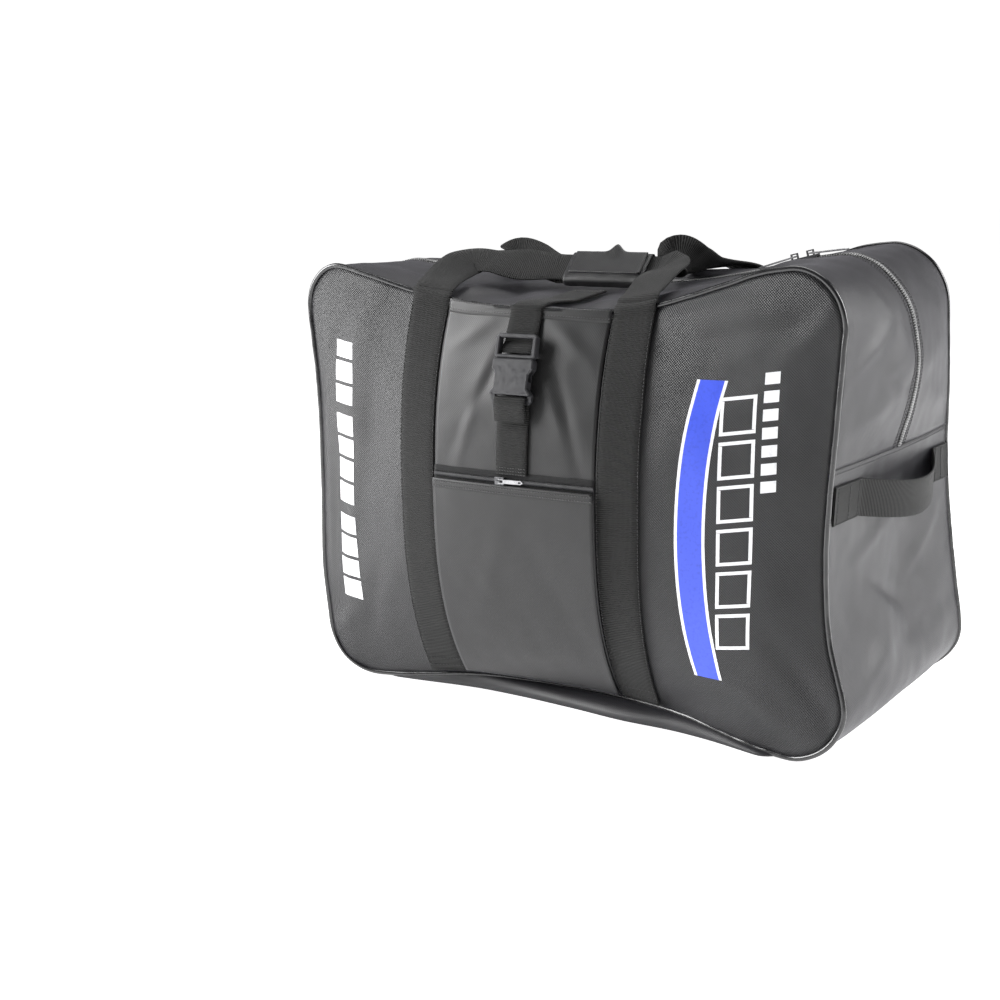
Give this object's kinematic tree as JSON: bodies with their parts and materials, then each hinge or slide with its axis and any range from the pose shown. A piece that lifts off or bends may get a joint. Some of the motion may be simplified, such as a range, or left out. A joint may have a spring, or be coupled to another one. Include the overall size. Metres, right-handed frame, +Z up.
{
  "type": "gear bag",
  "caption": "Black nylon box-shaped gear bag with piped panels, a zipped top, webbing carry handles, side grab handles and a buckled strap over front pockets.",
  "frame": {"origin": "middle of the flat bottom, on the surface the bag stands on", "axes": "+X to the viewer's right when looking at the front, +Y from the front to the back, +Z up"},
  "size_m": [0.6818, 0.3915, 0.4938],
  "materials": {
    "nylon": "woven black nylon, satin",
    "webbing": "ribbed black webbing, matt",
    "piping": "glossy black vinyl",
    "coil": "black nylon coil and tape",
    "buckle": "dark grey moulded plastic",
    "zip_metal": "dark plated metal"
  },
  "bodies": {
    "bag": {"front_panel": "nylon", "back_panel": "nylon", "piping_front": "piping", "piping_back": "piping", "gusset_bottom": "nylon", "gusset_top_front": "nylon", "gusset_top_back": "nylon", "zipper_tape": "coil", "zipper_chain": "coil", "handle_front": "webbing", "handle_back": "webbing", "handle_wrap": "nylon", "slip_pocket": "nylon", "zip_pocket": "nylon", "pocket_zipper": "coil", "buckle_body": "buckle", "buckle_frame": "buckle", "compression_strap_lower": "webbing", "compression_strap_upper": "webbing", "side_handle_right": "webbing", "side_handle_left": "webbing", "left_slider": "zip_metal", "right_slider": "zip_metal", "pocket_slider": "zip_metal"},
    "left_pull": {"left_pull": "zip_metal"},
    "right_pull": {"right_pull": "zip_metal"},
    "pocket_pull": {"pocket_pull": "zip_metal"}
  },
  "joints": [
    {"name": "left_pull_hinge", "type": "hinge", "parent": "bag", "child": "left_pull", "pos_m": [0.1918, -0.00011, 0.47254], "axis": [-0.006, 0.9997, 0.0231], "range_deg": [0, 90]},
    {"name": "right_pull_hinge", "type": "hinge", "parent": "bag", "child": "right_pull", "pos_m": [0.20826, -0.00011, 0.4768], "axis": [0.006, -0.9997, -0.0231], "range_deg": [0, 90]},
    {"name": "pocket_pull_hinge", "type": "hinge", "parent": "bag", "child": "pocket_pull", "pos_m": [-0.04195, -0.2027, 0.25479], "axis": [0, 0.0082, -1], "range_deg": [0, 150]}
  ]
}
